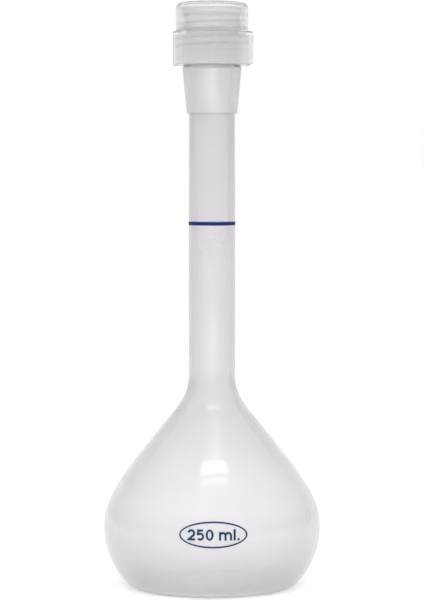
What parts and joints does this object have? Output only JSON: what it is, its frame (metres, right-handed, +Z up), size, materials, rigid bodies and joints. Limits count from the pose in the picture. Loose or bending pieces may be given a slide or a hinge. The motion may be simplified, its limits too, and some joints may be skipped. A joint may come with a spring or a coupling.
{
  "type": "volumetric flask",
  "caption": "Translucent volumetric flask: pear-shaped bulb, long slim neck with a ring line, flared threaded mouth and a screw cap with a hexagonal grip.",
  "frame": {"origin": "middle of the flat standing ring, on the surface the flask stands on", "axes": "+Z up the neck towards the cap, -Y towards the side with the printed mark"},
  "size_m": [0.084, 0.0841, 0.2264],
  "materials": {
    "flask_plastic": "milky translucent polypropylene, smooth",
    "cap_plastic": "milky translucent polypropylene, smooth",
    "liner_foam": "white closed-cell foam, matt",
    "print_ink": "dark blue print, satin"
  },
  "bodies": {
    "flask": {"flask_body": "flask_plastic", "graduation_ring": "print_ink", "capacity_mark": "print_ink"},
    "liner": {"sealing_liner": "liner_foam"},
    "cap": {"screw_cap": "cap_plastic"}
  },
  "joints": [
    {"name": "cap_lift", "type": "slide", "parent": "flask", "child": "liner", "axis": [0, 0, 1], "range_m": [0, 0.021]},
    {"name": "cap_turn", "type": "hinge", "parent": "liner", "child": "cap", "pos_m": [0, 0, 0.214], "axis": [0, 0, 1], "range_deg": [0, 2700]}
  ],
  "couplings": [
    {"joint": "cap_lift", "follows": "cap_turn", "m_per_rad": 0.00044563}
  ]
}
